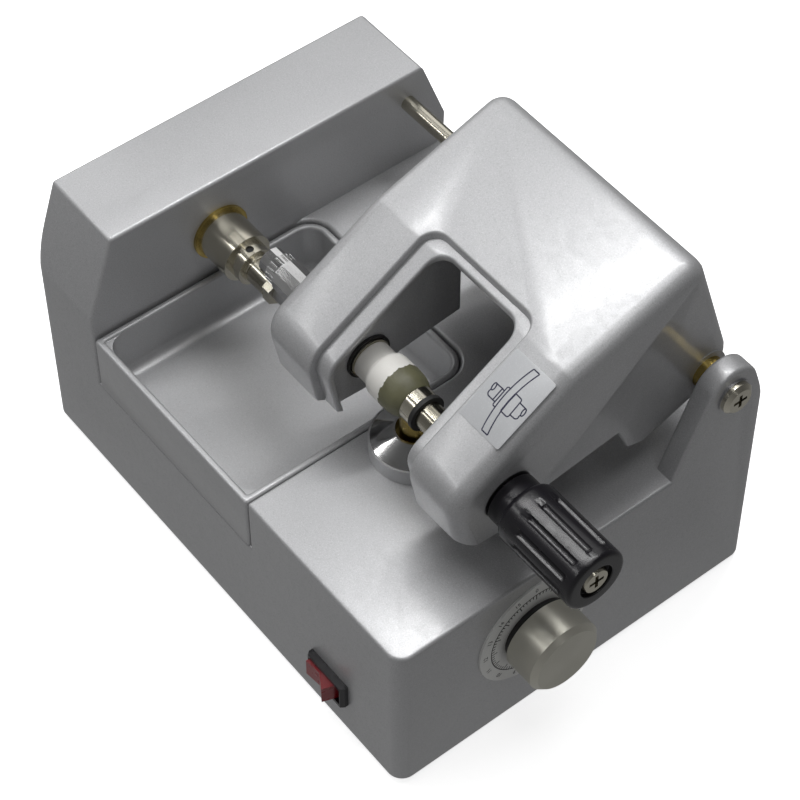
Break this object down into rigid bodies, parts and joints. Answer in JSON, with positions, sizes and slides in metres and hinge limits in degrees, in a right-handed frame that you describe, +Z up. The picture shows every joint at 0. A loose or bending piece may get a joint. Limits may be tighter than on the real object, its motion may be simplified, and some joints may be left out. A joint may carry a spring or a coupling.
{
  "type": "lens pattern maker",
  "caption": "Bench machine that clamps a sample lens in a swinging fork head and mills its outline onto a blank, with chip tray and size dial.",
  "frame": {"origin": "on the floor under the middle of the whole machine at rest, knobs and switch included", "axes": "+X from the tall housing on the left to the knobs on the right, +Y from the front face to the back face, +Z up"},
  "size_m": [0.286, 0.2014, 0.1956],
  "materials": {
    "casting": "fine silver-grey metallic paint on a casting",
    "tray_paint": "light grey metallic paint",
    "dark_metal": "dark grey coating on plain metal",
    "nickel": "satin nickel, turned",
    "steel": "plain machined steel",
    "black_steel": "blackened steel",
    "brass": "turned brass",
    "chrome": "polished chrome",
    "alu": "satin turned aluminium",
    "scale_plate": "grey anodised plate",
    "white_plastic": "white engineering plastic",
    "olive_rubber": "olive translucent rubber",
    "black_rubber": "black rubber",
    "black_gloss": "glossy black plastic",
    "black_matte": "black plastic",
    "red_gloss": "glossy red plastic",
    "board_green": "green circuit board",
    "picture_plate": "light grey plate with a dark blue line picture"
  },
  "bodies": {
    "base": {"base_casing": "casting", "bottom_plate": "dark_metal", "case_screws": "steel", "rubber_feet": "black_rubber", "belt_cover": "casting", "spindle_bush": "brass", "bearing_block": "dark_metal", "spindle_bearings": "steel", "motor_case": "dark_metal", "motor_bracket": "steel", "drive_belt": "black_rubber", "switch_body": "black_gloss", "power_inlet": "black_matte", "control_board": "board_green", "board_standoffs": "brass", "pivot_shaft": "nickel", "pivot_washer": "steel", "pivot_screw": "nickel", "stop_post": "steel", "stop_nut": "steel", "dial_plate": "scale_plate", "dial_bush": "brass", "cam_bracket": "steel", "rest_flange": "casting", "rest_cone": "chrome", "rest_guide": "brass"},
    "tray": {"chip_tray": "tray_paint"},
    "spindle": {"spindle_shaft": "nickel", "lock_ring": "nickel", "lock_screw": "black_steel", "collet": "nickel", "cutter": "steel", "spindle_pulley": "alu"},
    "rotor": {"motor_rotor": "steel", "motor_pulley": "alu"},
    "rocker": {"switch_rocker": "red_gloss"},
    "head": {"head_shell": "casting", "pivot_bushes": "brass", "arm_bearings": "steel", "shaft_seal": "black_rubber", "diagram_plate": "picture_plate", "stop_bar": "steel"},
    "pattern": {"pattern_shaft": "nickel", "pattern_clamp": "chrome", "lens_chuck": "white_plastic"},
    "quill": {"clamp_quill": "steel"},
    "clamp": {"clamp_shaft": "nickel", "clamp_spring": "steel", "shaft_ring": "black_rubber", "lens_pad": "olive_rubber", "clamp_knob": "black_gloss", "knob_screw": "nickel"},
    "dial": {"dial_shaft": "steel", "dial_spacer": "black_matte", "dial_knob": "alu", "dial_screws": "black_steel", "size_cam": "steel"},
    "rest": {"rest_post": "brass", "rest_spring": "steel"}
  },
  "joints": [
    {"name": "tray_slide", "type": "slide", "parent": "base", "child": "tray", "axis": [0, -1, 0], "range_m": [0, 0.105]},
    {"name": "spindle_turn", "type": "hinge", "parent": "base", "child": "spindle", "pos_m": [-0.09, -0.02578, 0.1121], "axis": [1, 0, 0], "continuous": true},
    {"name": "rotor_turn", "type": "hinge", "parent": "base", "child": "rotor", "pos_m": [-0.063, 0.05761, 0.049], "axis": [1, 0, 0], "continuous": true},
    {"name": "switch_rock", "type": "hinge", "parent": "base", "child": "rocker", "pos_m": [0.0622, -0.08839, 0.029], "axis": [0, 0, 1], "range_deg": [0, 26]},
    {"name": "head_lift", "type": "hinge", "parent": "base", "child": "head", "pos_m": [0.0318, 0.07562, 0.1255], "axis": [-1, 0, 0], "range_deg": [0, 60]},
    {"name": "pattern_turn", "type": "hinge", "parent": "head", "child": "pattern", "pos_m": [-0.013, -0.02688, 0.129], "axis": [1, 0, 0], "continuous": true},
    {"name": "quill_turn", "type": "hinge", "parent": "head", "child": "quill", "pos_m": [0.075, -0.02688, 0.129], "axis": [1, 0, 0], "continuous": true},
    {"name": "clamp_pull", "type": "slide", "parent": "quill", "child": "clamp", "axis": [1, 0, 0], "range_m": [0, 0.012], "stiffness_N_per_m": 800, "springref_m": -0.01, "deforming": ["clamp_spring"]},
    {"name": "dial_turn", "type": "hinge", "parent": "base", "child": "dial", "pos_m": [0.107, -0.02408, 0.0555], "axis": [1, 0, 0], "range_deg": [-130, 130]},
    {"name": "rest_lift", "type": "slide", "parent": "base", "child": "rest", "axis": [0, 0, 1], "range_m": [-0.00144, 0.00144], "deforming": ["rest_spring"]}
  ],
  "couplings": [
    {"joint": "spindle_turn", "follows": "rotor_turn", "ratio": 0.5},
    {"joint": "pattern_turn", "follows": "quill_turn", "ratio": 1},
    {"joint": "dial_turn", "follows": "rest_lift", "rad_per_m": -1570.8}
  ]
}
